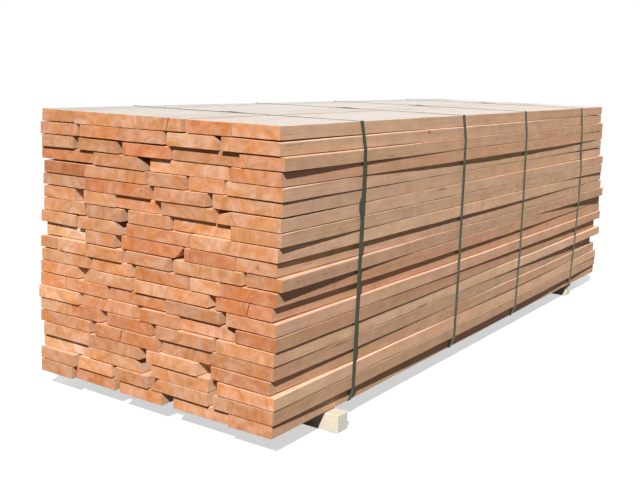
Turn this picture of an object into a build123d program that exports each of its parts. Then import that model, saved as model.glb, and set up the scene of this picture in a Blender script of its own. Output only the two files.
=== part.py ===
"""Strapped pack of sawn boards, lying on two bearers.

X runs along the boards, with the near end of the pack at -X.
Y runs across the pack, with its right side, as seen from the near end, at -Y.
Z is up, from the floor that the bearers lie on.
The origin is on the floor, under the middle of the whole pack.
"""
import os

from build123d import *

# Pack and boards, in millimetres
PACK_LENGTH = 3000.0
PACK_WIDTH = 1040.0
BOARD_THICKNESS = 45.0
# How far a board's near end, and its far end, can stand out of line
NEAR_STAGGER = 25.0
FAR_STAGGER = 75.0
# How far a layer can bow to the right
SIDE_BOW = 19.0
# Length by which a cutter passes the board that it cuts
CUT_OVERRUN = 20.0

# Bearers
BEARER_WIDTH = 63.0
BEARER_HEIGHT = 63.0
BEARER_LENGTH = 1040.0
BEARER_EASE = 2.0
# How far each bearer stands out of the pack's right side
NEAR_BEARER_REACH = 37.0
FAR_BEARER_REACH = -28.0
# Space along the pack between each bearer and the strap beside it
NEAR_BEARER_GAP = 72.0
FAR_BEARER_GAP = 5.0

# Straps
STRAP_WIDTH = 19.0
STRAP_THICKNESS = 0.9
STRAP_CLEARANCE = 0.3
LAP_LENGTH = 110.0
# Loose end on the first strap's right side, skewed out of line
TAIL_HEIGHT = 84.0
TAIL_REACH = 14.0
TAIL_ROOT = 6.0

# Crimped seals on the straps
SEAL_LENGTH = 34.0
SEAL_WALL = 0.9
SEAL_CLEARANCE = 0.1
CRIMP_RADIUS = 2.2

# Places along the pack, across its top and up its side
STRAP_PLACE_SHARES = (0.147, 0.4015, 0.616, 0.8735)
SEAL_PLACE_SHARE = 0.475
TAIL_PLACE_SHARE = 0.703
CRIMP_PLACE_SHARES = (-0.25, 0.25)

# Each layer from the top down, and each board in it from the left:
# left edge and right edge in pack widths, near end in near staggers, far end in far staggers
BOARD_SHARES = (
    ((0.004, 0.156, 0.24, 0.10), (0.165, 0.447, 0.38, -0.20), (0.454, 0.632, 0.24, 0.30),
     (0.651, 0.822, 0.30, -0.10), (0.826, 0.999, 0.12, -0.46)),
    ((-0.004, 0.176, 0.30, 0.20), (0.191, 0.372, 0.36, -0.30), (0.375, 0.560, 0.30, 0.10),
     (0.576, 0.776, 0.32, 0.35), (0.792, 1.006, 0.42, -0.40)),
    ((0.000, 0.155, 0.18, -0.15), (0.181, 0.359, 0.26, 0.40), (0.383, 0.583, 0.16, 0.00),
     (0.589, 0.849, -0.26, 0.55), (0.857, 1.019, 0.20, -0.30)),
    ((-0.011, 0.250, -0.22, 0.30), (0.254, 0.479, 0.30, -0.25), (0.492, 0.808, -0.40, 0.45),
     (0.823, 1.008, 0.20, -0.20)),
    ((0.009, 0.205, 0.08, 0.15), (0.208, 0.480, 0.12, 0.35), (0.494, 0.640, 0.10, -0.20),
     (0.656, 0.789, -0.22, 0.25), (0.808, 1.013, 0.12, -0.38)),
    ((-0.002, 0.203, -0.12, -0.10), (0.212, 0.499, 0.10, 0.40), (0.520, 0.729, 0.10, -0.35),
     (0.753, 1.009, -0.10, -0.20)),
    ((0.000, 0.152, -0.20, 0.20), (0.202, 0.346, 0.02, 0.50), (0.349, 0.520, -0.46, -0.15),
     (0.546, 0.763, -0.12, 0.30), (0.768, 1.007, -0.04, -0.20)),
    ((0.001, 0.198, -0.16, 0.35), (0.215, 0.375, 0.02, -0.25), (0.403, 0.581, -0.14, 0.20),
     (0.589, 0.822, -0.64, 0.50), (0.826, 1.011, 0.02, -0.50)),
    ((-0.012, 0.159, -0.10, -0.30), (0.177, 0.373, 0.10, 0.25), (0.394, 0.659, -0.22, 0.40),
     (0.671, 1.001, 0.08, -0.25)),
    ((0.003, 0.208, -0.60, 0.45), (0.213, 0.348, 0.12, 0.10), (0.372, 0.635, -0.20, -0.20),
     (0.649, 0.845, 0.10, 0.35), (0.848, 0.992, -0.12, -0.20)),
    ((-0.009, 0.071, 0.06, -0.20), (0.081, 0.218, 0.26, 0.30), (0.224, 0.380, 0.32, 0.00),
     (0.397, 0.585, 0.02, 0.55), (0.607, 0.873, 0.16, -0.15), (0.882, 1.013, -0.30, 0.10)),
    ((-0.004, 0.234, 0.06, 0.25), (0.243, 0.420, -0.06, 0.50), (0.440, 0.665, 0.00, -0.30),
     (0.673, 0.793, 0.14, 0.15), (0.797, 0.996, 0.04, 0.40)),
    ((-0.009, 0.172, 0.06, 0.10), (0.204, 0.423, 0.02, -0.25), (0.440, 0.747, 0.10, 0.45),
     (0.774, 0.986, 0.00, 0.45)),
    ((-0.012, 0.112, 0.00, 0.40), (0.117, 0.310, 0.10, -0.10), (0.321, 0.570, -0.28, 0.20),
     (0.574, 0.794, 0.14, 0.55), (0.814, 0.998, -0.04, 0.60)),
    ((-0.012, 0.183, 0.30, -0.40), (0.198, 0.443, -0.10, 0.25), (0.464, 0.629, 0.20, 0.10),
     (0.632, 0.839, -0.32, 0.35), (0.851, 1.000, 0.00, -0.20)),
    ((-0.009, 0.145, 0.05, 0.30), (0.148, 0.279, -0.08, -0.20), (0.315, 0.512, 0.00, 0.45),
     (0.539, 0.766, 0.30, 0.15), (0.780, 0.996, 0.06, 0.60)),
    ((-0.011, 0.233, 0.02, 0.20), (0.265, 0.550, 0.24, -0.35), (0.558, 0.750, -0.14, 0.30),
     (0.754, 0.993, -0.08, -0.62)),
    ((0.003, 0.227, 0.00, 0.10), (0.231, 0.466, 0.12, 0.40), (0.499, 0.708, 0.28, -0.25),
     (0.759, 0.982, -0.02, 0.25)),
    ((-0.012, 0.222, -0.60, 0.35), (0.227, 0.470, 0.00, -0.15), (0.515, 0.749, -0.06, 0.25),
     (0.786, 1.000, 0.00, 0.60)),
    ((-0.004, 0.161, 0.20, 0.25), (0.178, 0.335, -0.08, -0.30), (0.359, 0.503, 0.20, 0.15),
     (0.513, 0.749, 0.00, 0.40), (0.772, 0.998, 0.06, 0.65)),
    ((-0.003, 0.153, 0.18, 0.20), (0.158, 0.344, -0.44, -0.10), (0.372, 0.557, -0.18, 0.30),
     (0.600, 0.821, -0.52, 0.05), (0.828, 0.992, -0.12, 0.70)),
)

# Bow of each layer from the top down, at the middle and the far end, in side bows
BOW_SHARES = (
    (0.20, 0.05), (0.12, -0.50), (-0.33, -0.70), (0.30, -0.25), (-0.50, -0.50), (-0.30, -0.50),
    (0.10, 0.50), (-0.13, 0.45), (0.62, 0.47), (0.72, 1.10), (-0.34, 0.30), (0.72, 0.05),
    (0.82, 0.63), (0.68, 0.20), (0.28, -0.65), (0.46, 0.37), (0.53, -0.67), (1.22, 0.15),
    (0.10, -0.57), (0.31, -0.60), (-0.38, -0.68),
)

# Waney edges, by layer from the top and board from the left:
# edge, face, then width and depth at the near end in board thicknesses
WANE_SHARES = {
    (2, 4): ("right", "top", 0.40, 0.45),
    (4, 2): ("right", "top", 0.80, 0.92),
    (7, 5): ("left", "top", 1.10, 0.36),
    (8, 4): ("right", "top", 0.55, 0.50),
    (9, 2): ("right", "top", 0.70, 0.90),
    (10, 3): ("right", "bottom", 0.85, 0.90),
    (13, 2): ("left", "top", 0.65, 0.90),
    (15, 4): ("right", "top", 0.80, 0.92),
    (19, 2): ("right", "top", 0.70, 0.90),
    (20, 4): ("left", "top", 0.78, 0.90),
}
# Size of a waney edge at the far end, and its spread past the edge, in near-end sizes
WANE_TAPER_SHARE = 0.4
WANE_SPREAD_SHARE = 0.7

LAYER_COUNT = len(BOARD_SHARES)
PACK_HEIGHT = LAYER_COUNT * BOARD_THICKNESS
PACK_TOP = BEARER_HEIGHT + PACK_HEIGHT


def layer_bottom(layer):
    """Height of the underside of a layer, counted from the top."""
    return PACK_TOP - (layer + 1) * BOARD_THICKNESS


def across(layer, share, x):
    """Place across the pack of a share of its width, on a layer's bowed line at x."""
    middle, far = BOW_SHARES[layer]
    along = x / PACK_LENGTH
    bow = (4 * middle - far) * along + (2 * far - 4 * middle) * along**2
    return PACK_WIDTH * (0.5 - share) - SIDE_BOW * bow


def board_side(layer, share, start, end):
    """One bowed long edge of a board, as a parabola from start to end."""
    middle = (start + end) / 2
    first = across(layer, share, start)
    last = across(layer, share, end)
    control = 2 * across(layer, share, middle) - (first + last) / 2
    return Bezier((start, first), (middle, control), (end, last))


def wane_section(layer, share, x, size, edge, face, width, depth):
    """Triangle that takes a waney corner off a board at x."""
    inward = 1 if edge == "right" else -1
    upward = -1 if face == "top" else 1
    corner_y = across(layer, share, x)
    corner_z = layer_bottom(layer) + (BOARD_THICKNESS if face == "top" else 0)
    run = inward * width * BOARD_THICKNESS * size
    rise = upward * depth * BOARD_THICKNESS * size
    inner = (corner_y + run * (1 + WANE_SPREAD_SHARE), corner_z - rise * WANE_SPREAD_SHARE)
    lower = (corner_y - run * WANE_SPREAD_SHARE, corner_z + rise * (1 + WANE_SPREAD_SHARE))
    outline = Polyline(inner, lower, (lower[0], inner[1]), close=True)
    return Plane.YZ.offset(x) * make_face(outline)


def wane_cutter(layer, share, start, end, edge, face, width, depth):
    """Tapering wedge along a board's edge, where the bark side of the log was."""
    shape = (edge, face, width, depth)
    near = wane_section(layer, share, start - CUT_OVERRUN, 1, *shape)
    far = wane_section(layer, share, end + CUT_OVERRUN, WANE_TAPER_SHARE, *shape)
    return loft([near, far], ruled=True)


def make_board(layer, index):
    """One board, bowed in plan, with its waney edge if it has one."""
    left, right, near, far = BOARD_SHARES[layer][index]
    start = -near * NEAR_STAGGER
    end = PACK_LENGTH + far * FAR_STAGGER
    left_side = board_side(layer, left, start, end)
    right_side = board_side(layer, right, start, end)
    near_end = Line(right_side @ 0, left_side @ 0)
    far_end = Line(left_side @ 1, right_side @ 1)
    outline = [left_side, far_end, right_side, near_end]
    board = Pos(0, 0, layer_bottom(layer)) * extrude(make_face(outline), BOARD_THICKNESS)
    wane = WANE_SHARES.get((layer + 1, index + 1))
    if wane:
        share = left if wane[0] == "left" else right
        board -= wane_cutter(layer, share, start, end, *wane)
    return board.solid()


def make_layer(layer):
    """All the boards of one layer."""
    return [make_board(layer, index) for index in range(len(BOARD_SHARES[layer]))]


def pack_hull(x):
    """Outline that a taut strap follows round the pack at x, in the plane across the pack."""
    edges = []
    for layer, boards in enumerate(BOARD_SHARES):
        low = layer_bottom(layer)
        high = low + BOARD_THICKNESS
        strap_edges = (x - STRAP_WIDTH / 2, x + STRAP_WIDTH / 2)
        left = max(across(layer, boards[0][0], edge) for edge in strap_edges)
        right = min(across(layer, boards[-1][1], edge) for edge in strap_edges)
        edges += Polyline((left, low), (left, high), (right, high), (right, low), close=True).edges()
    return make_hull(edges)


def strap_band(hull, turn, start, width):
    """One turn of strap round the pack: turn 0 lies on the boards, turn 1 on turn 0."""
    inside = STRAP_CLEARANCE + turn * STRAP_THICKNESS
    outside = inside + STRAP_THICKNESS
    ring = offset(hull, outside, kind=Kind.INTERSECTION) - offset(hull, inside, kind=Kind.INTERSECTION)
    return extrude(Plane.YZ.offset(start) * ring, width)


def strap_place(index):
    """Place of a strap's middle along the pack."""
    return STRAP_PLACE_SHARES[index] * PACK_LENGTH


def seal_place(x):
    """Place of a strap's seal across the top layer."""
    return across(0, SEAL_PLACE_SHARE, x)


def loose_tail(hull, x):
    """Loose end of the first strap, bulging out of line on the pack's right side."""
    reach = STRAP_WIDTH / 2 + TAIL_REACH
    wide_turn = strap_band(hull, 1, x - reach, reach + STRAP_WIDTH / 2)
    level = BEARER_HEIGHT + TAIL_PLACE_SHARE * PACK_HEIGHT
    top = (x - STRAP_WIDTH / 2 + TAIL_ROOT, level + TAIL_HEIGHT / 2)
    bottom = (top[0], level - TAIL_HEIGHT / 2)
    bulge = ThreePointArc(top, (x - reach, level), bottom)
    window = Plane.XZ * make_face([bulge, Line(bottom, top)])
    return wide_turn & extrude(window, PACK_WIDTH)


def make_strap(index):
    """A taut strap, with its ends lapped under the seal on top of the pack."""
    x = strap_place(index)
    start = x - STRAP_WIDTH / 2
    hull = pack_hull(x)
    window = Pos(x, seal_place(x), PACK_TOP) * Box(STRAP_WIDTH, LAP_LENGTH, BOARD_THICKNESS)
    strap = strap_band(hull, 0, start, STRAP_WIDTH)
    strap += strap_band(hull, 1, start, STRAP_WIDTH) & window
    if index == 0:
        strap += loose_tail(hull, x)
    return strap.solid()


def make_seal(index):
    """Crimped channel that holds a strap's two lapped ends together."""
    x = strap_place(index)
    slot_width = STRAP_WIDTH + 2 * SEAL_CLEARANCE
    outer_width = slot_width + 2 * SEAL_WALL
    slot_height = STRAP_CLEARANCE + 2 * STRAP_THICKNESS + SEAL_CLEARANCE
    height = slot_height + SEAL_WALL
    align = (Align.CENTER, Align.CENTER, Align.MIN)
    seal = Box(outer_width, SEAL_LENGTH, height, align=align)
    seal -= Box(slot_width, SEAL_LENGTH, slot_height, align=align)
    for side in (-1, 1):
        for share in CRIMP_PLACE_SHARES:
            place = Pos(side * (outer_width / 2 + CRIMP_RADIUS - SEAL_WALL / 2), share * SEAL_LENGTH, 0)
            seal -= place * Cylinder(CRIMP_RADIUS, height, align=align)
    return (Pos(x, seal_place(x), PACK_TOP + SEAL_CLEARANCE) * seal).solid()


def make_bearer(x, reach):
    """One bearer across the pack, with eased long edges."""
    align = (Align.CENTER, Align.MIN, Align.MIN)
    bearer = Box(BEARER_WIDTH, BEARER_LENGTH, BEARER_HEIGHT, align=align)
    bearer = chamfer(bearer.edges().filter_by(Axis.Y), BEARER_EASE)
    return (Pos(x, -PACK_WIDTH / 2 - reach, 0) * bearer).solid()


def make_nodes():
    """Every named piece, or layer of pieces, as a list of solids."""
    nodes = {}
    for layer in range(LAYER_COUNT):
        nodes[f"boards_layer_{LAYER_COUNT - layer:02d}"] = make_layer(layer)
    for index in range(len(STRAP_PLACE_SHARES)):
        nodes[f"strap_{index + 1}"] = [make_strap(index)]
        nodes[f"strap_seal_{index + 1}"] = [make_seal(index)]
    aside = (STRAP_WIDTH + BEARER_WIDTH) / 2
    near = strap_place(0) - aside - NEAR_BEARER_GAP
    far = strap_place(-1) + aside + FAR_BEARER_GAP
    nodes["bearer_near"] = [make_bearer(near, NEAR_BEARER_REACH)]
    nodes["bearer_far"] = [make_bearer(far, FAR_BEARER_REACH)]
    return nodes


def main():
    os.makedirs("parts", exist_ok=True)
    nodes = make_nodes()
    box = Compound([solid for solids in nodes.values() for solid in solids]).bounding_box()
    middle = box.center()
    place = Pos(-middle.X, -middle.Y, 0)
    for name, solids in nodes.items():
        moved = [place * solid for solid in solids]
        export_step(moved[0] if len(moved) == 1 else Compound(moved), f"parts/{name}.step")


main()
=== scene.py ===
"""Looks of a strapped pack of sawn boards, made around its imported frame, in metres.

X runs along the boards, with the near end at -X. Y runs across, with the right side at -Y. Z is up.
"""
import math

import bpy
import numpy as np
from mathutils import Matrix, Vector


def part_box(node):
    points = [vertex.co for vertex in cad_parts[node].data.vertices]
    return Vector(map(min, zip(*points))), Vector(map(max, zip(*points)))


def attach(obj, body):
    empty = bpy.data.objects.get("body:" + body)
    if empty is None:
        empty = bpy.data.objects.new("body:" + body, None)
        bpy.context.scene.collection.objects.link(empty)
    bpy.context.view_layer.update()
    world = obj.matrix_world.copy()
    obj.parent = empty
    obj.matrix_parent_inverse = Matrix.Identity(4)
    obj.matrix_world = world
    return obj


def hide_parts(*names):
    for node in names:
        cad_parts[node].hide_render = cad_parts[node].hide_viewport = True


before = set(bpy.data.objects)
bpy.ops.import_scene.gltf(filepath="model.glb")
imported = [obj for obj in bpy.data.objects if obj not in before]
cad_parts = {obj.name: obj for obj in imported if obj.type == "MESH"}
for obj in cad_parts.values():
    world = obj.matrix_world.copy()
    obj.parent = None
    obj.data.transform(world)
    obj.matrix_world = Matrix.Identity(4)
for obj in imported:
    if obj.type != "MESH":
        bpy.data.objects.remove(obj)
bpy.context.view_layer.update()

# Camera, solved for a picture of 640 by 480 pixels, with angles in degrees
PICTURE_WIDTH = 640
PICTURE_HEIGHT = 480
CAMERA_PLACE = (-3.653, -2.0965, 1.179)
CAMERA_YAW = 34.07
CAMERA_PITCH = -6.11
CAMERA_ROLL = 1.75
FOCAL_PIXELS = 923.7
OPTICAL_CENTRE = (320, 166)
SENSOR_WIDTH = 36

# Light and floor, with spreads in degrees
SUN_TRAVEL = (0.85, 0.37, -0.85)
SUN_STRENGTH = 6.3
SUN_SPREAD = 1.0
BACK_TRAVEL = (-1.0, -0.55, -0.45)
BACK_STRENGTH = 1.6
BACK_SPREAD = 50.0
SKY_STRENGTH = 0.065
FLOOR_BOUNCE = 0.10
FLOOR_GLOW = 0.62
FLOOR_WHITE = 0.95
FLOOR_SIZE = 60.0
FLOOR_FADE = (2.6, 7.0)

# Numbering and seeds
LAYER_COUNT = 21
SEED = 20

# Sawn pieces: eased arrises, waver of the faces, and how finely they are divided
ARRIS_EASE = 0.0011
END_EASE = 0.0010
FACE_WAVER = 0.0017
SIDE_WAVER = 0.0008
END_SKEW = 0.0022
END_SKEW_REACH = 0.15
END_THINNING = 0.0030
END_THINNING_REACH = 0.30
TOP_THINNING_POWER = 2
UNDER_THINNING_POWER = 3
WAVER_LENGTHS = (2.7, 1.1, 0.43)
WAVER_STRETCH_SHARES = (0.8, 1.25)
END_STATIONS = (0.0, END_EASE, 0.006, 0.02, 0.05, 0.10)
STATION_STEP = 0.075
COLUMN_STEP = 0.030
LEAST_STATIONS = 2
LEAST_COLUMNS = 3
WANE_COLUMN_SHARES = (0.25, 0.5, 0.75, 1.0)
WANE_ROW_SHARES = (0.34, 0.67, 1.0)
WANE_BULGE_SHARE = 0.12
WANE_WAVER_SHARE = 0.16
WANE_SLACK_SHARE = 0.1
ROUNDING = 1 - math.sqrt(0.5)
WELD = 1e-5

# Upper right arrises worn back, by layer from the top: from and to, in board lengths
WORN_SHARES = {
    2: (-0.1, 0.75),
    3: (-0.1, 0.30),
    5: (-0.1, 0.08),
    7: (0.45, 1.1),
    11: (-0.1, 0.30),
    14: (-0.1, 1.1),
    16: (0.40, 1.1),
    18: (0.45, 1.1),
    19: (-0.1, 0.45),
}
ARRIS_WEAR = 0.0024
WEAR_FADE_SHARE = 0.08

# Drying cracks in near ends, by layer from the top and board from the left:
# place across in board widths, and how far the crack leans for each step up
CRACK_SHARES = {(1, 3): (0.69, 0.25), (17, 2): (0.42, 0.25), (13, 4): (0.58, 0.25), (3, 5): (0.10, -0.60)}
CRACK_WIDTH = 0.0035
CRACK_DEPTH = 0.030
CRACK_TAPER = 5

# Knots and slits, by layer from the top and board from the left: along, across and up, in board sizes
END_KNOT_SHARES = {(6, 2): (0.0, 0.88, 0.55), (10, 5): (0.0, 0.55, 0.45)}
SIDE_KNOT_SHARES = {(2, 5): (0.306, 1.0, 0.80), (8, 5): (0.599, 1.0, 0.61)}
SLIT_SHARES = {(7, 5): (0.344, 1.0, 0.80), (16, 5): (0.302, 1.0, 0.15), (17, 4): (0.120, 1.0, 0.80)}
END_KNOT_RADII = (0.010, 0.008, 0.007)
SIDE_KNOT_RADII = (0.016, 0.008, 0.007)
SLIT_RADII = (0.060, 0.012, 0.0045)
MARKS = ((END_KNOT_SHARES, END_KNOT_RADII), (SIDE_KNOT_SHARES, SIDE_KNOT_RADII), (SLIT_SHARES, SLIT_RADII))

# Distance at which no mark shows, and over which the pieces' grain is drawn
FAR_AWAY = 50.0

# Where a board's pith lies: across in board widths, and up or down in board thicknesses
PITH_ACROSS_SHARES = (-0.2, 1.2)
PITH_UP_SHARES = (0.5, 2.5)

# Boards whose colour stands out, by layer from the top and board from the left
REDDISH_BOARDS = {(3, 3), (13, 4)}
DARK_BOARDS = {(5, 1)}
PALE_BOARDS = {(10, 1), (19, 1)}
TONE_SPREAD = 0.45
BLUSH_POWER = 2
REDDISH_BLUSH = 1.0
DARK_TONE = -1.0
PALE_TONE = 0.6
PALE_BLUSH = -1.0
BEARER_TONE = 0.3

# What a face of a sawn piece is marked with, in the order of its columns
FACE_MARKS = ("end_face", "pale_top_and_sheen", "arris", "wane", "inner")

# Angle in degrees beyond which an arris is drawn sharp
SHARP_ANGLE = 15

# Straps and seals, which keep the frame's solids: how many, and how far their edges are broken
STRAP_COUNT = 4
STRAP_EDGE = 0.0002
SEAL_EDGE = 0.0003

# Noise patterns: turns to a metre in each direction, detail, roughness and distortion
NOISE_ROUGHNESS = 0.55
WARP_PATTERN = ((0.7, 9, 9), 2.0)
RING_PATTERNS = {
    "rings": ((170, 0.5, 3), 1.0),
    "bands": ((46, 0.4, 2), 2.0),
}
GRAIN_PATTERNS = {
    "fine": ((6, 210, 210), 2.0),
    "patches": ((8, 5, 5), 2.0),
    "saw": ((110, 4, 4), 1.0),
    "bars": ((30, 1.5, 5), 1.0),
    "bar_patches": ((2.6, 5, 5), 1.0),
    "blotches": ((13, 22, 22), 4.0, 0.65),
    "stain": ((1.6, 14, 14), 2.0),
    "hue": ((2.4, 9, 9), 2.0),
    "checks": ((9, 190, 190), 1.0),
    "pores": ((0, 380, 380), 2.0),
    "mottle": ((0, 26, 34), 3.0, NOISE_ROUGHNESS, 0.6),
    "lines": ((0, 210, 7), 1.0),
    "end_hue": ((0, 11, 15), 2.0, NOISE_ROUGHNESS, 0.8),
}
SCUFF_PATTERN = ((400, 40, 40), 3.0)
DULL_PATTERN = ((180, 180, 180), 4.0)

# How far the noise bends the rings, and the parts that patterns have in long grain and end grain
RING_WARP = 0.030
LONG_WEIGHTS = {"bands": 0.35, "rings": 0.25, "fine": 0.15, "patches": 0.25}
END_WEIGHTS = {"mottle": 0.35, "pores": 0.15, "bands": 0.25, "rings": 0.15, "lines": 0.10}

# Ranges of the noise over which a pattern comes to show, and of a knot's radii
LONG_RANGE = (0.36, 0.64)
END_RANGE = (0.39, 0.61)
HUE_RANGE = (0.36, 0.64)
END_HUE_RANGE = (0.38, 0.62)
STAIN_RANGE = (0.50, 0.72)
BAR_RANGE = (0.40, 0.60)
BAR_PATCH_RANGE = (0.54, 0.66)
BLOTCH_RANGE = (0.34, 0.66)
CHECK_RANGE = (0.73, 0.79)
KNOT_RANGE = (1.1, 0.3)
SCUFF_RANGE = (0.35, 0.7)
DULL_RANGE = (0.35, 0.7)
SEAL_ROUGH_RANGE = (0.3, 0.7)

# How strongly each pattern shows
STAIN_DEPTH = 0.5
# Arrises drawn toward cream: partly paler worn fibres, partly a painted highlight along the edges
ARRIS_WEAR_AND_HIGHLIGHT = 0.55
SAW_BAR_DEPTH = 0.045
BLOTCH_DEPTH = 0.085
CHECK_DEPTH = 0.45
LONG_BLUSH = 0.55
# Redness kept on the top layer's wide faces, whose colour is partly painted sky sheen
PALE_TOP_AND_SHEEN_BLUSH = 0.35
# Share of the wane slopes' brown, which is partly their own colour and partly painted shade
WANE_DEPTH = 0.85
TONE_DEPTH = 0.20
KNOT_DEPTH = 0.75
SAW_HEIGHT = 0.7

# Surfaces: roughness, shine, and the strength and distance of bumps
WOOD_ROUGHNESS = 0.82
WOOD_SHINE = 0.25
WOOD_BUMP = (0.30, 0.002)
STRAP_ROUGHNESS = 0.34
STRAP_SHINE = 0.16
STRAP_BUMP = (0.1, 0.0003)
SEAL_ROUGHNESS = (0.35, 0.6)
SEAL_SHINE = 0.2
SEAL_METALLIC = 0.3


def colour(red, green, blue):
    """A colour in linear light, with no transparency."""
    return (red, green, blue, 1.0)


def grey(value):
    return colour(value, value, value)


# Colours of the wood, in linear light
EDGE_PALE = colour(0.72, 0.465, 0.298)
EDGE_DEEP = colour(0.585, 0.330, 0.190)
EDGE_GREY = colour(0.585, 0.400, 0.285)
TAN_TINT = colour(0.98, 1.00, 0.95)
PINK_TINT = colour(1.03, 1.00, 1.05)
# Lighter copy of the side colour on the sides that face the gaps between boards: painted highlight
GAP_SIDE_HIGHLIGHT_TINT = colour(1.10, 1.10, 1.06)
# Cream of the arrises: partly paler worn fibres, partly painted highlight
ARRIS_CREAM = colour(0.71, 0.54, 0.42)
# Top layer's wide faces, greyer than the edges: partly the wood's own paler colour, partly painted sky
# sheen
TOP_PALE = colour(0.438, 0.410, 0.374)
TOP_DEEP = colour(0.392, 0.344, 0.302)
END_PALE = colour(0.58, 0.305, 0.160)
END_DEEP = colour(0.40, 0.168, 0.064)
ORANGE_TINT = colour(1.00, 0.87, 0.70)
PEACH_TINT = colour(1.05, 1.16, 1.44)
REDDER = colour(0.90, 0.70, 0.60)
PALER = colour(1.00, 1.20, 1.40)
# Brown of the wane slopes: partly the wane's own colour, partly painted shade
WANE_BROWN = colour(0.40, 0.25, 0.165)
KNOT_BROWN = colour(0.24, 0.10, 0.045)
CREAM_DEEP = colour(0.52, 0.46, 0.35)
CREAM_PALE = colour(0.60, 0.55, 0.44)
BUTT_DEEP = colour(0.74, 0.70, 0.57)
BUTT_PALE = colour(0.84, 0.80, 0.68)
BOARD_COLOURS = {
    "edge": (EDGE_DEEP, EDGE_PALE, EDGE_GREY),
    "tints": (TAN_TINT, PINK_TINT),
    "inner": GAP_SIDE_HIGHLIGHT_TINT,
    "arris": ARRIS_CREAM,
    "pale_top_and_sheen": (TOP_DEEP, TOP_PALE),
    "end": (END_DEEP, END_PALE),
    "end_tints": (ORANGE_TINT, PEACH_TINT),
}
BEARER_COLOURS = {
    "edge": (CREAM_DEEP, CREAM_PALE, CREAM_DEEP),
    "tints": (grey(1.0), grey(1.0)),
    "inner": grey(1.0),
    "arris": CREAM_PALE,
    "pale_top_and_sheen": (CREAM_DEEP, CREAM_PALE),
    "end": (BUTT_DEEP, BUTT_PALE),
    "end_tints": (grey(1.0), grey(1.0)),
}

# Colours of the straps and seals
STRAP_DEEP = colour(0.026, 0.038, 0.016)
STRAP_PALE = colour(0.052, 0.072, 0.032)
SEAL_DEEP = colour(0.035, 0.032, 0.030)
SEAL_PALE = colour(0.10, 0.095, 0.09)


def read_mesh(node):
    """Points of a frame node with doubles merged, and its triangles."""
    mesh = node.data
    points = np.empty(len(mesh.vertices) * 3)
    mesh.vertices.foreach_get("co", points)
    points = points.reshape(-1, 3)
    mesh.calc_loop_triangles()
    corners = np.empty(len(mesh.loop_triangles) * 3, dtype=np.int32)
    mesh.loop_triangles.foreach_get("vertices", corners)
    _, first, merged = np.unique(np.round(points / WELD), axis=0, return_index=True, return_inverse=True)
    return points[first], merged.ravel()[corners].reshape(-1, 3)


def split_islands(points, triangles):
    """Point sets of the separate solids in one mesh."""
    label = np.arange(len(points))
    while True:
        lowest = label[triangles].min(axis=1)
        lower = label.copy()
        np.minimum.at(lower, triangles.ravel(), np.repeat(lowest, 3))
        lower = lower[lower]
        if (lower == label).all():
            break
        label = lower
    return [points[label == value] for value in np.unique(label)]


class Board:
    """One board as the frame has it: its ends, faces, bowed left side and waney corner."""

    def __init__(self, points):
        x, y, z = points.T
        self.start, self.end = x.min(), x.max()
        self.low, self.high = z.min(), z.max()
        near = points[x < self.start + WELD]
        right, left = near[:, 1].min(), near[:, 1].max()
        self.width = left - right
        self.length = self.end - self.start
        self.thickness = self.high - self.low
        self.wane = None
        for corner_y, edge in ((right, "right"), (left, "left")):
            for corner_z, face in ((self.low, "bottom"), (self.high, "top")):
                away = np.hypot(near[:, 1] - corner_y, near[:, 2] - corner_z)
                if away.min() > WELD:
                    self.wane = (edge, face)
        plain = left if self.wane is None or self.wane[0] == "right" else right
        on_side = np.abs(y - plain) < self.width / 2
        self.bow = np.polyfit(x[on_side], y[on_side] + left - plain, 2)
        if self.wane:
            self.wane_near = self.wane_size(points, self.start)
            self.wane_far = self.wane_size(points, self.end)

    def left_side(self, x):
        """Place across the pack of the board's left side at x."""
        return np.polyval(self.bow, x)

    def wane_size(self, points, x):
        """Width and depth of the waney corner at one end."""
        edge, face = self.wane
        section = points[np.abs(points[:, 0] - x) < WELD]
        left = self.left_side(x)
        corner_y = left if edge == "left" else left - self.width
        corner_z = self.high if face == "top" else self.low
        in_y = np.abs(section[:, 1] - corner_y)
        in_z = np.abs(section[:, 2] - corner_z)
        slack = self.thickness * WANE_SLACK_SHARE
        return in_y[in_z < slack].min(), in_z[in_y < slack].min()


def waver(rng, along, reach):
    """Slow seeded waver along a piece, between 0 and reach."""
    total = np.zeros_like(along)
    for wavelength in WAVER_LENGTHS:
        turns = along / wavelength * rng.uniform(*WAVER_STRETCH_SHARES) + rng.random()
        total += np.sin(2 * math.pi * turns)
    return reach * (0.5 + 0.5 * total / len(WAVER_LENGTHS))


def station_places(length):
    """Places of the sections along a piece, closer together at its ends."""
    ends = np.array(END_STATIONS)
    count = max(LEAST_STATIONS, round((length - 2 * ends[-1]) / STATION_STEP))
    middle = np.linspace(ends[-1], length - ends[-1], count + 1)[1:-1]
    return np.concatenate([ends, middle, length - ends[::-1]])


def quads(numbers):
    """Faces of a grid of point numbers, turned from its first direction to its second."""
    corners = (numbers[:-1, :-1], numbers[1:, :-1], numbers[1:, 1:], numbers[:-1, 1:])
    return np.stack([corner.ravel() for corner in corners], axis=1)


def cell_marks(shape, rows=(), columns=()):
    """1 on the cells of a grid that are in these rows or columns, else 0."""
    marks = np.zeros((shape[0] - 1, shape[1] - 1))
    for row in rows:
        marks[row] = 1
    for column in columns:
        marks[:, column] = 1
    return marks.ravel()


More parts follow.
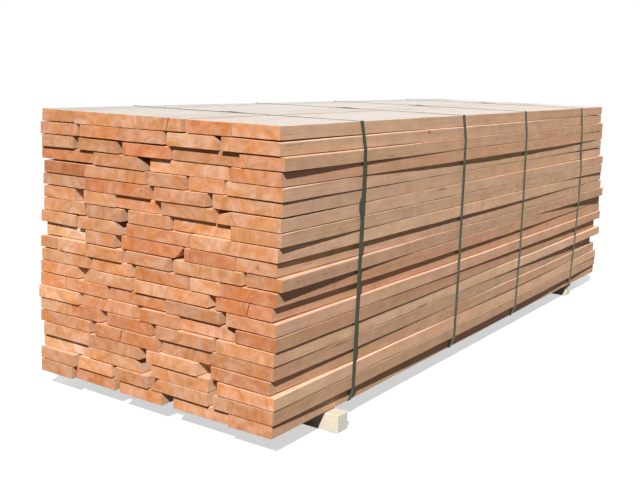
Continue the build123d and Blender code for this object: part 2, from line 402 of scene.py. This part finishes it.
class SawnPiece:
    """A sawn piece lying along its first axis, with eased arrises and slightly uneven faces."""

    def __init__(self, rng, size, wane=None, wane_near=(0, 0), wane_far=(0, 0), crack=None, worn=None,
                 inner=(), pale_top_and_sheen=False):
        self.rng = rng
        self.inner = inner
        self.pale_top_and_sheen = pale_top_and_sheen
        self.length, self.width, self.thickness = size
        self.wane = wane
        self.stations = station_places(self.length)
        self.crack_column = None
        self.crack = crack
        self.lay_grid(wane_near, wane_far)
        self.ease_arrises()
        if worn:
            self.wear_arris(*worn)
        self.uneven_faces()
        self.skew_ends()
        self.flip_wane()
        self.make_faces()

    def lay_grid(self, wane_near, wane_far):
        """Lines along, across and up, with the waney corner at the far side of both."""
        share = self.stations / self.length
        rough = 1 + WANE_WAVER_SHARE * (2 * waver(self.rng, self.stations, 1) - 1)
        run = (wane_near[0] + (wane_far[0] - wane_near[0]) * share) * rough
        rise = (wane_near[1] + (wane_far[1] - wane_near[1]) * share) * rough
        rise = np.minimum(rise, self.thickness - END_EASE)
        flat = self.width - run
        count = max(LEAST_COLUMNS, round(self.width / COLUMN_STEP))
        columns = list(np.linspace(0, 1, count + 1) * self.width)
        columns.insert(1, ARRIS_EASE)
        if not self.wane:
            columns.insert(-1, self.width - ARRIS_EASE)
        if self.crack:
            middle = self.crack[0] * self.width
            columns = [c for c in columns if abs(c - middle) > CRACK_WIDTH]
            columns += [middle - CRACK_WIDTH / 2, middle, middle + CRACK_WIDTH / 2]
            columns.sort()
            self.crack_column = columns.index(middle)
        across = np.outer(flat / self.width, columns)
        ease_row = np.full_like(run, ARRIS_EASE)
        if self.wane:
            level = self.thickness - rise
            rows = [0 * run, np.minimum(ease_row, level / 2), level]
            rows += [level + rise * s for s in WANE_ROW_SHARES]
            across = np.hstack([across, flat[:, None] + np.outer(run, WANE_COLUMN_SHARES)])
        else:
            rows = [0 * run, ease_row, ease_row * 0 + self.thickness / 2]
            rows += [self.thickness - ease_row, ease_row * 0 + self.thickness]
        up = np.stack(rows, axis=1)
        shape = (len(self.stations), across.shape[1], up.shape[1])
        self.along = np.broadcast_to(self.stations[:, None, None], shape).copy()
        self.across = np.broadcast_to(across[:, :, None], shape).copy()
        self.up = np.broadcast_to(up[:, None, :], shape).copy()
        if self.wane:
            self.cut_wane(run[:, None, None], rise[:, None, None])

    def cut_wane(self, run, rise):
        """Fold the corner's square of points onto a slightly rounded slope."""
        a = np.clip((self.across - self.width + run) / run, 0, 1)
        b = np.clip((self.up - self.thickness + rise) / rise, 0, 1)
        folded_a = a * (1 - b / 2)
        folded_b = b * (1 - a / 2)
        bulge = 1 + 4 * WANE_BULGE_SHARE * folded_a * folded_b
        self.across += run * (folded_a * bulge - a) * (b > 0)
        self.up += rise * (folded_b * bulge - b) * (a > 0)

    def ease_arrises(self):
        """Round the long arrises and set the rims of the ends back."""
        inward = ARRIS_EASE * ROUNDING
        for column, side in ((0, 1), (-1, -1)):
            for row, way in ((0, 1), (-1, -1)):
                if self.wane and column == row == -1:
                    continue
                self.across[:, column, row] += side * inward
                self.up[:, column, row] += way * inward
        for end in (0, -1):
            self.across[end] = np.clip(self.across[end], END_EASE, self.width - END_EASE)
            self.up[end] = np.clip(self.up[end], END_EASE, self.thickness - END_EASE)

    def wear_arris(self, start, end):
        """Wear the upper right arris back from one share of the length to another."""
        share = self.stations / self.length
        wear = ARRIS_WEAR * np.clip(np.minimum(share - start, end - share) / WEAR_FADE_SHARE, 0, 1)
        self.across[:, -2, -1] -= wear
        self.up[:, -1, -2] -= wear
        self.across[:, -1, -1] -= wear * ROUNDING
        self.up[:, -1, -1] -= wear * ROUNDING

    def uneven_faces(self):
        """Draw each face in by its own slow waver, and thin the ends unevenly."""
        share = self.across[:, :, :1] / self.width
        left, right = (waver(self.rng, self.stations, SIDE_WAVER)[:, None, None] for _ in range(2))
        low, high = (waver(self.rng, self.stations, FACE_WAVER)[:, None, None] for _ in range(2))
        for end in (0, self.length):
            fade = np.exp(-np.abs(self.stations - end) / END_THINNING_REACH)[:, None, None]
            one_side, other_side = self.rng.random(2) ** TOP_THINNING_POWER
            high = high + END_THINNING * fade * (one_side * share + other_side * (1 - share))
            one_side, other_side = self.rng.random(2) ** UNDER_THINNING_POWER
            low = low + END_THINNING * fade * (one_side * share + other_side * (1 - share))
        self.across *= (self.width - left - right) / self.width
        self.across += left
        self.up *= (self.thickness - low - high) / self.thickness
        self.up += low

    def skew_ends(self):
        """Tilt the end cuts a little, and open the drying crack."""
        plain = self.along.copy()
        for end, way in ((0, 1), (self.length, -1)):
            reach = np.clip(1 - np.abs(plain - end) / END_SKEW_REACH, 0, 1)
            tilt = np.abs(self.across / self.width - self.rng.integers(2)) * self.rng.random()
            lean = np.abs(self.up / self.thickness - self.rng.integers(2)) * self.rng.random()
            self.along += way * END_SKEW * (tilt + lean) / 2 * reach
        if self.crack_column is not None:
            column = plain[:, self.crack_column]
            fade = np.clip(1 - column / (CRACK_TAPER * CRACK_DEPTH), 0, 1)
            self.along[:, self.crack_column] += CRACK_DEPTH * fade
            near = slice(self.crack_column - 1, self.crack_column + 2)
            lean = self.crack[1] * (self.up[:, near] - self.thickness / 2)
            self.across[:, near] += lean * fade[:, None]

    def flip_wane(self):
        """Turn the waney corner to the edge and face that it is on."""
        if self.wane and self.wane[0] == "left":
            self.across = self.width - self.across
        if self.wane and self.wane[1] == "bottom":
            self.up = self.thickness - self.up

    def make_faces(self):
        """Faces of the six sides, each with its marks in the order of FACE_MARKS."""
        numbers = np.arange(self.along.size).reshape(self.along.shape)
        _, columns, rows = self.along.shape
        arrises = [0] if self.wane else [0, -1]
        slope_columns = range(columns - 1 - len(WANE_COLUMN_SHARES), columns - 1) if self.wane else ()
        slope_rows = range(rows - 1 - len(WANE_ROW_SHARES), rows - 1) if self.wane else ()
        first, last = ("right", "left") if self.wane and self.wane[0] == "left" else ("left", "right")
        sides = (
            ("wide", numbers[:, :, 0], True, ()),
            ("wide", numbers[:, :, -1], False, slope_columns),
            (first, numbers[:, 0, :], False, ()),
            (last, numbers[:, -1, :], True, slope_rows),
        )
        faces, marks = [], []
        for name, block, turned, slopes in sides:
            found = quads(block)
            faces.append(found[:, ::-1] if turned else found)
            rim = cell_marks(block.shape, rows=(0, -1))
            arris = cell_marks(block.shape, columns=arrises) * (1 - rim)
            slope = cell_marks(block.shape, columns=slopes) * (1 - rim)
            # The top layer's wide faces, coloured partly with painted sky sheen
            pale_top_and_sheen = (name == "wide" and self.pale_top_and_sheen) * (1 - arris)
            inner = (name in self.inner) * (1 - slope)
            marks.append(np.stack([rim, pale_top_and_sheen, arris, slope, inner], axis=1))
        for block in (numbers[0].T, numbers[-1]):
            found = quads(block)
            faces.append(found)
            marks.append(np.tile((1, 0, 0, 0, 0), (len(found), 1)))
        faces = np.concatenate(faces)
        used = np.unique(faces)
        fresh = np.zeros(self.along.size, dtype=int)
        fresh[used] = np.arange(len(used))
        self.faces = fresh[faces]
        self.marks = np.concatenate(marks)
        self.points = np.stack([self.along.ravel(), self.across.ravel(), self.up.ravel()], axis=1)[used]


def outward(points, faces):
    """The faces, turned so that the solid's volume is positive."""
    a, b, c, d = (points[faces[:, corner]] for corner in range(4))
    middle = points.mean(axis=0)
    volume = np.einsum("ij,ij->i", np.cross(c - a, d - b), a - middle).sum()
    return faces if volume > 0 else faces[:, ::-1]


class PieceMesh:
    """Several sawn pieces gathered into one mesh, with what their material needs to know."""

    def __init__(self):
        self.points, self.faces, self.marks = [], [], []
        self.vectors = {"grain": [], "from_pith": [], "from_knot": []}
        self.numbers = {"tone": [], "blush": []}
        self.count = 0

    def add(self, piece, placed, rng, tone, blush, key=None):
        """Add a sawn piece whose points are already in place."""
        local = piece.points
        same = np.ones(len(local))
        pith_across = rng.uniform(*PITH_ACROSS_SHARES) * piece.width
        pith_up = rng.choice((-1, 1)) * rng.uniform(*PITH_UP_SHARES) * piece.thickness
        pith = (0, pith_across, pith_up)
        from_knot = np.full_like(local, FAR_AWAY)
        for places, radii in MARKS:
            if key in places:
                from_knot = (local - local.max(axis=0) * np.array(places[key])) / np.array(radii)
        self.vectors["grain"].append(local + rng.uniform(0, FAR_AWAY, 3))
        self.vectors["from_pith"].append(local - np.array(pith))
        self.vectors["from_knot"].append(from_knot)
        self.numbers["tone"].append(same * tone)
        self.numbers["blush"].append(same * blush)
        self.points.append(placed)
        self.faces.append(outward(placed, piece.faces) + self.count)
        self.marks.append(piece.marks)
        self.count += len(local)

    def build(self, name, material, node):
        """Make the object that stands for a frame node."""
        mesh = bpy.data.meshes.new(name)
        mesh.from_pydata(np.concatenate(self.points), [], np.concatenate(self.faces))
        for key, rows in self.vectors.items():
            layer = mesh.attributes.new(key, "FLOAT_VECTOR", "POINT")
            layer.data.foreach_set("vector", np.concatenate(rows).ravel())
        for key, rows in self.numbers.items():
            layer = mesh.attributes.new(key, "FLOAT", "POINT")
            layer.data.foreach_set("value", np.concatenate(rows))
        marks = np.concatenate(self.marks)
        for column, key in enumerate(FACE_MARKS):
            layer = mesh.attributes.new(key, "FLOAT", "FACE")
            layer.data.foreach_set("value", marks[:, column].copy())
        mesh.materials.append(material)
        mesh.shade_smooth()
        mesh.set_sharp_from_angle(angle=math.radians(SHARP_ANGLE))
        piece = bpy.data.objects.new(name, mesh)
        bpy.context.scene.collection.objects.link(piece)
        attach(piece, "root")
        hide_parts(node)


class Nodes:
    """Short forms for writing a material's nodes."""

    def __init__(self, tree):
        self.tree = tree
        tree.nodes.clear()

    def add(self, kind, inputs, **settings):
        node = self.tree.nodes.new(kind)
        for key, value in settings.items():
            setattr(node, key, value)
        for key, value in inputs.items():
            if isinstance(value, bpy.types.NodeSocket):
                self.tree.links.new(value, node.inputs[key])
            else:
                node.inputs[key].default_value = value
        return node

    def attribute(self, name, output="Fac"):
        return self.add("ShaderNodeAttribute", {}, attribute_name=name).outputs[output]

    def stretch(self, vector, scale):
        node = self.add("ShaderNodeVectorMath", {0: vector, 1: scale}, operation="MULTIPLY")
        return node.outputs["Vector"]

    def length(self, vector):
        return self.add("ShaderNodeVectorMath", {0: vector}, operation="LENGTH").outputs["Value"]

    def noise(self, vector, turns, detail, roughness=NOISE_ROUGHNESS, distortion=0.0):
        inputs = {
            "Vector": self.stretch(vector, turns),
            "Scale": 1.0,
            "Detail": detail,
            "Roughness": roughness,
            "Distortion": distortion,
        }
        return self.add("ShaderNodeTexNoise", inputs).outputs["Fac"]

    def math(self, operation, first, second=0.0, third=0.0):
        node = self.add("ShaderNodeMath", {0: first, 1: second, 2: third}, operation=operation)
        return node.outputs["Value"]

    def weigh(self, weights, values):
        """Sum of the named values, each times its weight."""
        total = 0.0
        for key, weight in weights.items():
            total = self.math("MULTIPLY_ADD", values[key], weight, total)
        return total

    def spread(self, value, low, high, to_low=0.0, to_high=1.0):
        inputs = {"Value": value, "From Min": low, "From Max": high, "To Min": to_low, "To Max": to_high}
        return self.add("ShaderNodeMapRange", inputs).outputs["Result"]

    def mix(self, factor, first, second, blend_type="MIX"):
        node = self.add("ShaderNodeMix", {}, data_type="RGBA", blend_type=blend_type)
        sockets = (node.inputs[0], node.inputs[6], node.inputs[7])
        for socket, value in zip(sockets, (factor, first, second)):
            if isinstance(value, bpy.types.NodeSocket):
                self.tree.links.new(value, socket)
            else:
                socket.default_value = value
        return node.outputs[2]

    def times(self, first, second):
        return self.mix(1.0, first, second, "MULTIPLY")

    def bump(self, height, strength, distance):
        inputs = {"Height": height, "Strength": strength, "Distance": distance}
        return self.add("ShaderNodeBump", inputs).outputs["Normal"]

    def surface(self, base, roughness, shine, **others):
        """Finish a material with one surface."""
        inputs = {"Base Color": base, "Roughness": roughness, "Specular IOR Level": shine, **others}
        self.finish(self.add("ShaderNodeBsdfPrincipled", inputs).outputs["BSDF"])

    def finish(self, shader):
        self.add("ShaderNodeOutputMaterial", {"Surface": shader})


def new_material(name):
    material = bpy.data.materials.new(name)
    material.use_nodes = True
    return material, Nodes(material.node_tree)


def wood_patterns(nodes):
    """Noise patterns of a piece, by name. Rings and bands run round its pith."""
    grain = nodes.attribute("grain", "Vector")
    pith = nodes.attribute("from_pith", "Vector")
    radius = nodes.length(nodes.stretch(pith, (0, 1, 1)))
    bent = nodes.math("MULTIPLY_ADD", nodes.noise(grain, *WARP_PATTERN), RING_WARP, radius)
    place = nodes.add("ShaderNodeSeparateXYZ", {0: grain}).outputs
    ring_place = nodes.add("ShaderNodeCombineXYZ", {0: bent, 1: place[0], 2: place[1]}).outputs[0]
    found = {key: nodes.noise(ring_place, *pattern) for key, pattern in RING_PATTERNS.items()}
    found.update({key: nodes.noise(grain, *pattern) for key, pattern in GRAIN_PATTERNS.items()})
    return found


def long_grain(nodes, colours, found, marks):
    """Colour of a piece's faces and edges."""
    share = nodes.spread(nodes.weigh(LONG_WEIGHTS, found), *LONG_RANGE)
    edge_deep, edge_pale, edge_grey = colours["edge"]
    edge = nodes.mix(share, edge_deep, edge_pale)
    edge = nodes.mix(nodes.spread(found["stain"], *STAIN_RANGE, 0.0, STAIN_DEPTH), edge, edge_grey)
    tint = nodes.mix(nodes.spread(found["hue"], *HUE_RANGE), *colours["tints"])
    edge = nodes.times(edge, tint)
    # Sides facing the gaps between boards are drawn lighter: painted highlight
    edge = nodes.mix(marks["inner"], edge, nodes.times(edge, colours["inner"]))
    # Arrises drawn toward cream: partly worn fibres, partly painted highlight
    edge = nodes.mix(nodes.math("MULTIPLY", marks["arris"], ARRIS_WEAR_AND_HIGHLIGHT), edge, colours["arris"])
    # The top layer's wide faces take their greyer colour: partly the wood's own, partly painted sky sheen
    return nodes.mix(marks["pale_top_and_sheen"], edge, nodes.mix(share, *colours["pale_top_and_sheen"]))


def end_grain(nodes, colours, found):
    """Colour and height of a piece's ends."""
    height = nodes.weigh(END_WEIGHTS, found)
    end = nodes.mix(nodes.spread(height, *END_RANGE), *colours["end"])
    tint = nodes.mix(nodes.spread(found["end_hue"], *END_HUE_RANGE), *colours["end_tints"])
    return nodes.times(end, tint), height


def sawn_shade(nodes, found, marks):
    """Brightness of a piece: its own tone, with saw bars, blotches and checks on its sides, but not on its
    ends or on the top layer's wide faces.
    """
    bars = nodes.spread(found["bars"], *BAR_RANGE, -1.0, 1.0)
    bars = nodes.math("MULTIPLY", bars, nodes.spread(found["bar_patches"], *BAR_PATCH_RANGE))
    blotches = nodes.spread(found["blotches"], *BLOTCH_RANGE, -1.0, 1.0)
    checks = nodes.spread(found["checks"], *CHECK_RANGE, 0.0, CHECK_DEPTH)
    relief = nodes.math("MULTIPLY", blotches, BLOTCH_DEPTH)
    relief = nodes.math("MULTIPLY_ADD", bars, SAW_BAR_DEPTH, relief)
    relief = nodes.math("SUBTRACT", relief, checks)
    plain = nodes.math("MAXIMUM", marks["end_face"], marks["pale_top_and_sheen"])
    shade = nodes.math("MULTIPLY_ADD", nodes.attribute("tone"), TONE_DEPTH, 1.0)
    shade = nodes.math("MULTIPLY_ADD", relief, nodes.math("SUBTRACT", 1.0, plain), shade)
    return nodes.add("ShaderNodeCombineColor", {0: shade, 1: shade, 2: shade}).outputs[0]


def wood_material(name, colours):
    """Rough-sawn wood: long grain on the faces and edges, end grain on the ends."""
    material, nodes = new_material(name)
    marks = {key: nodes.attribute(key) for key in FACE_MARKS}
    found = wood_patterns(nodes)
    end_face = marks["end_face"]
    end_colour, end_height = end_grain(nodes, colours, found)
    wood = nodes.mix(end_face, long_grain(nodes, colours, found, marks), end_colour)
    # Wane slopes darkened brown: partly the wane's own colour, partly painted shade
    wood = nodes.mix(nodes.math("MULTIPLY", marks["wane"], WANE_DEPTH), wood, WANE_BROWN)

    blush = nodes.attribute("blush")
    redness = nodes.math("MULTIPLY", blush, nodes.spread(end_face, 0.0, 1.0, LONG_BLUSH, 1.0))
    redness = nodes.math("MULTIPLY", redness, nodes.spread(marks["pale_top_and_sheen"], 0.0, 1.0, 1.0, PALE_TOP_AND_SHEEN_BLUSH))
    wood = nodes.mix(redness, wood, nodes.times(wood, REDDER))
    wood = nodes.mix(nodes.spread(blush, 0.0, -1.0), wood, nodes.times(wood, PALER))
    wood = nodes.times(wood, sawn_shade(nodes, found, marks))
    from_knot = nodes.length(nodes.attribute("from_knot", "Vector"))
    wood = nodes.mix(nodes.spread(from_knot, *KNOT_RANGE, 0.0, KNOT_DEPTH), wood, KNOT_BROWN)

    long_height = nodes.math("MULTIPLY_ADD", found["saw"], SAW_HEIGHT, found["fine"])
    difference = nodes.math("SUBTRACT", end_height, long_height)
    height = nodes.math("MULTIPLY_ADD", end_face, difference, long_height)
    nodes.surface(wood, WOOD_ROUGHNESS, WOOD_SHINE, Normal=nodes.bump(height, *WOOD_BUMP))
    return material


def strap_material():
    """Dark green plastic strapping, faintly scuffed."""
    material, nodes = new_material("strap_band")
    place = nodes.add("ShaderNodeTexCoord", {}).outputs["Object"]
    scuff = nodes.noise(place, *SCUFF_PATTERN)
    base = nodes.mix(nodes.spread(scuff, *SCUFF_RANGE), STRAP_DEEP, STRAP_PALE)
    nodes.surface(base, STRAP_ROUGHNESS, STRAP_SHINE, Normal=nodes.bump(scuff, *STRAP_BUMP))
    return material


def seal_material():
    """Dark seal steel, unevenly dulled."""
    material, nodes = new_material("seal_metal")
    place = nodes.add("ShaderNodeTexCoord", {}).outputs["Object"]
    dull = nodes.noise(place, *DULL_PATTERN)
    base = nodes.mix(nodes.spread(dull, *DULL_RANGE), SEAL_DEEP, SEAL_PALE)
    rough = nodes.spread(dull, *SEAL_ROUGH_RANGE, *SEAL_ROUGHNESS)
    nodes.surface(base, rough, SEAL_SHINE, Metallic=SEAL_METALLIC)
    return material


def board_looks(rng, key):
    """Tone and blush of one board."""
    tone = float(np.clip(rng.normal(0, TONE_SPREAD), -1, 1))
    blush = float(rng.random() ** BLUSH_POWER)
    if key in REDDISH_BOARDS:
        blush = REDDISH_BLUSH
    if key in DARK_BOARDS:
        tone = DARK_TONE
    if key in PALE_BOARDS:
        tone, blush = PALE_TONE, PALE_BLUSH
    return tone, blush


def make_layer(number, material):
    """All the boards of one layer, numbered from the bottom as its frame node is."""
    node = f"boards_layer_{number:02d}"
    from_top = LAYER_COUNT + 1 - number
    solids = split_islands(*read_mesh(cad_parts[node]))
    solids.sort(key=lambda points: -points[:, 1].mean())
    gathered = PieceMesh()
    for index, points in enumerate(solids):
        board = Board(points)
        key = (from_top, index + 1)
        rng = np.random.default_rng((SEED, *key))
        size = (board.length, board.width, board.thickness)
        wane = {}
        if board.wane:
            wane = {"wane": board.wane, "wane_near": board.wane_near, "wane_far": board.wane_far}
        worn = WORN_SHARES.get(from_top) if index + 1 == len(solids) and not board.wane else None
        inner = {"left", "right"}
        if index == 0:
            inner.remove("left")
        if index + 1 == len(solids):
            inner.remove("right")
        looks = {"crack": CRACK_SHARES.get(key), "worn": worn, "inner": inner, "pale_top_and_sheen": from_top == 1}
        piece = SawnPiece(rng, size, **looks, **wane)
        along, across, up = piece.points.T
        x = board.start + along
        placed = np.stack([x, board.left_side(x) - across, board.low + up], axis=1)
        tone, blush = board_looks(rng, key)
        gathered.add(piece, placed, rng, tone, blush, key)
    gathered.build(f"boards_{number:02d}", material, node)


def make_bearer(node, material):
    """One bearer, lying across the pack."""
    low, high = (np.array(corner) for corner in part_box(node))
    size = high - low
    rng = np.random.default_rng((SEED, len(node)))
    piece = SawnPiece(rng, (size[1], size[0], size[2]))
    along, across, up = piece.points.T
    placed = np.stack([low[0] + across, low[1] + along, low[2] + up], axis=1)
    gathered = PieceMesh()
    gathered.add(piece, placed, rng, BEARER_TONE, 0.0)
    gathered.build(f"{node}_wood", material, node)


def dress_node(name, material, bevel):
    """Give a frame node its finish, with softly broken edges."""
    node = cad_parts[name]
    node.data.materials.clear()
    node.data.materials.append(material)
    modifier = node.modifiers.new("broken_edges", "BEVEL")
    modifier.width = bevel
    modifier.segments = 1
    modifier.limit_method = "ANGLE"


def make_camera():
    """Camera at the place and angle that the picture was solved for."""
    yaw, pitch, roll = (math.radians(angle) for angle in (CAMERA_YAW, CAMERA_PITCH, CAMERA_ROLL))
    forward = Vector((math.cos(pitch) * math.cos(yaw), math.cos(pitch) * math.sin(yaw), math.sin(pitch)))
    right = forward.cross(Vector((0, 0, 1))).normalized()
    up = right.cross(forward)
    turned_right = math.cos(roll) * right + math.sin(roll) * up
    turned_up = -math.sin(roll) * right + math.cos(roll) * up
    data = bpy.data.cameras.new("camera")
    data.sensor_fit = "HORIZONTAL"
    data.sensor_width = SENSOR_WIDTH
    data.lens = FOCAL_PIXELS * SENSOR_WIDTH / PICTURE_WIDTH
    data.shift_x = (PICTURE_WIDTH / 2 - OPTICAL_CENTRE[0]) / PICTURE_WIDTH
    data.shift_y = (OPTICAL_CENTRE[1] - PICTURE_HEIGHT / 2) / PICTURE_WIDTH
    camera = bpy.data.objects.new("camera", data)
    bpy.context.scene.collection.objects.link(camera)
    turn = Matrix((turned_right, turned_up, -forward)).transposed().to_4x4()
    camera.matrix_world = Matrix.Translation(CAMERA_PLACE) @ turn
    bpy.context.scene.camera = camera


def seen_rays(nodes):
    """1 for rays that show the background itself, or its reflection."""
    path = nodes.add("ShaderNodeLightPath", {})
    seen = nodes.math("MAXIMUM", path.outputs["Is Camera Ray"], path.outputs["Is Glossy Ray"])
    return nodes.math("MAXIMUM", seen, path.outputs["Is Transmission Ray"])


def make_light():
    """Sunlike key from behind the camera's left, a soft light from behind the pack, and an even sky."""
    lamps = (
        ("key", SUN_TRAVEL, SUN_STRENGTH, SUN_SPREAD),
        ("back", BACK_TRAVEL, BACK_STRENGTH, BACK_SPREAD),
    )
    for name, travel, strength, spread in lamps:
        data = bpy.data.lights.new(name, "SUN")
        data.energy = strength
        data.angle = math.radians(spread)
        lamp = bpy.data.objects.new(name, data)
        lamp.rotation_euler = Vector(travel).to_track_quat("-Z", "Y").to_euler()
        bpy.context.scene.collection.objects.link(lamp)
    world = bpy.data.worlds.new("sky")
    world.use_nodes = True
    bpy.context.scene.world = world
    nodes = Nodes(world.node_tree)
    strength = nodes.spread(seen_rays(nodes), 0, 1, SKY_STRENGTH, 1.0)
    sky = nodes.add("ShaderNodeBackground", {"Color": grey(1.0), "Strength": strength})
    nodes.add("ShaderNodeOutputWorld", {"Surface": sky.outputs["Background"]})


def make_floor():
    """Pale floor that keeps the shadow and fades to white away from the pack."""
    mesh = bpy.data.meshes.new("floor")
    half = FLOOR_SIZE / 2
    corners = [(-half, -half, 0), (half, -half, 0), (half, half, 0), (-half, half, 0)]
    mesh.from_pydata(corners, [], [(0, 1, 2, 3)])
    floor = bpy.data.objects.new("floor", mesh)
    bpy.context.scene.collection.objects.link(floor)
    material, nodes = new_material("floor")
    place = nodes.add("ShaderNodeTexCoord", {}).outputs["Object"]
    seen = seen_rays(nodes)
    glow = nodes.spread(nodes.length(place), *FLOOR_FADE, FLOOR_GLOW, 1.0)
    fade = nodes.math("MULTIPLY", glow, seen)
    base = nodes.mix(seen, grey(FLOOR_BOUNCE), grey(FLOOR_WHITE))
    lit = nodes.add("ShaderNodeBsdfDiffuse", {"Color": base})
    white = nodes.add("ShaderNodeEmission", {"Color": grey(1.0), "Strength": 1.0})
    inputs = {0: fade, 1: lit.outputs["BSDF"], 2: white.outputs["Emission"]}
    nodes.finish(nodes.add("ShaderNodeMixShader", inputs).outputs["Shader"])
    mesh.materials.append(material)


bpy.context.scene.view_settings.view_transform = "Standard"
make_camera()
make_light()
make_floor()
board_wood = wood_material("board_wood", BOARD_COLOURS)
bearer_wood = wood_material("bearer_wood", BEARER_COLOURS)
for layer_number in range(1, LAYER_COUNT + 1):
    make_layer(layer_number, board_wood)
for bearer_name in ("bearer_near", "bearer_far"):
    make_bearer(bearer_name, bearer_wood)
strap_band = strap_material()
seal_metal = seal_material()
for strap_number in range(1, STRAP_COUNT + 1):
    dress_node(f"strap_{strap_number}", strap_band, STRAP_EDGE)
    dress_node(f"strap_seal_{strap_number}", seal_metal, SEAL_EDGE)
